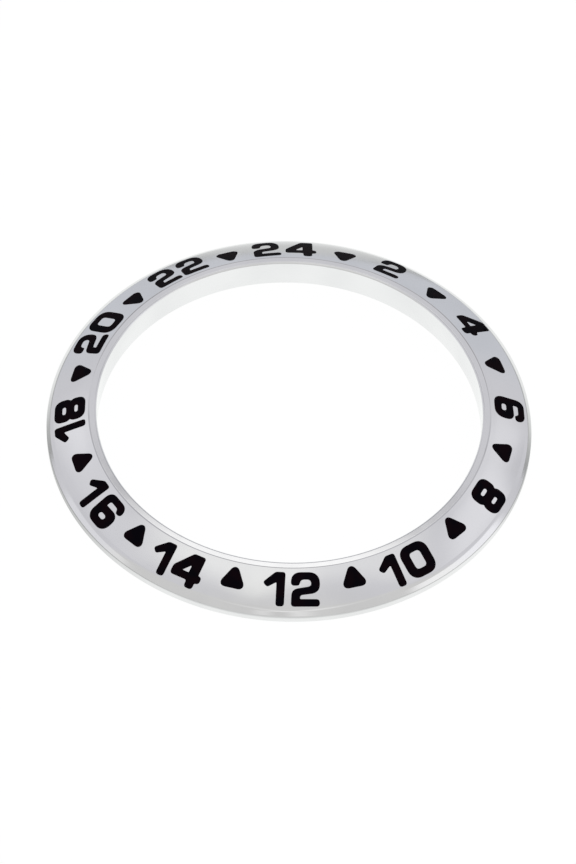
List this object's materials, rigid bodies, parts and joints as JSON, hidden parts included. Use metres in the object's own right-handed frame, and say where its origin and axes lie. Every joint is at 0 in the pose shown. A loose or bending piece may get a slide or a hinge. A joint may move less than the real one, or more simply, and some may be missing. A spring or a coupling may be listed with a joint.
{
  "type": "watch bezel",
  "caption": "Fixed watch bezel: a steel ring with a sloping face, engraved 24-hour numbers and triangles filled with black lacquer, and a plain bore.",
  "frame": {"origin": "centre of the bore in the plane of the flat underside", "axes": "+Z along the bore, up out of the engraved face; +Y towards the number 24; +X towards the number 6"},
  "size_m": [0.0386, 0.0386, 0.0025],
  "materials": {
    "polished_steel": "polished, with a fine turned grain",
    "black_lacquer": "gloss"
  },
  "bodies": {
    "root": {"bezel_ring": "polished_steel", "number_24_tens_lacquer": "black_lacquer", "number_24_units_lacquer": "black_lacquer", "number_02_units_lacquer": "black_lacquer", "number_04_units_lacquer": "black_lacquer", "number_06_units_lacquer": "black_lacquer", "number_08_units_lacquer": "black_lacquer", "number_10_tens_lacquer": "black_lacquer", "number_10_units_lacquer": "black_lacquer", "number_12_tens_lacquer": "black_lacquer", "number_12_units_lacquer": "black_lacquer", "number_14_tens_lacquer": "black_lacquer", "number_14_units_lacquer": "black_lacquer", "number_16_tens_lacquer": "black_lacquer", "number_16_units_lacquer": "black_lacquer", "number_18_tens_lacquer": "black_lacquer", "number_18_units_lacquer": "black_lacquer", "number_20_tens_lacquer": "black_lacquer", "number_20_units_lacquer": "black_lacquer", "number_22_tens_lacquer": "black_lacquer", "number_22_units_lacquer": "black_lacquer", "triangle_01_lacquer": "black_lacquer", "triangle_03_lacquer": "black_lacquer", "triangle_05_lacquer": "black_lacquer", "triangle_07_lacquer": "black_lacquer", "triangle_09_lacquer": "black_lacquer", "triangle_11_lacquer": "black_lacquer", "triangle_13_lacquer": "black_lacquer", "triangle_15_lacquer": "black_lacquer", "triangle_17_lacquer": "black_lacquer", "triangle_19_lacquer": "black_lacquer", "triangle_21_lacquer": "black_lacquer", "triangle_23_lacquer": "black_lacquer"}
  },
  "joints": []
}
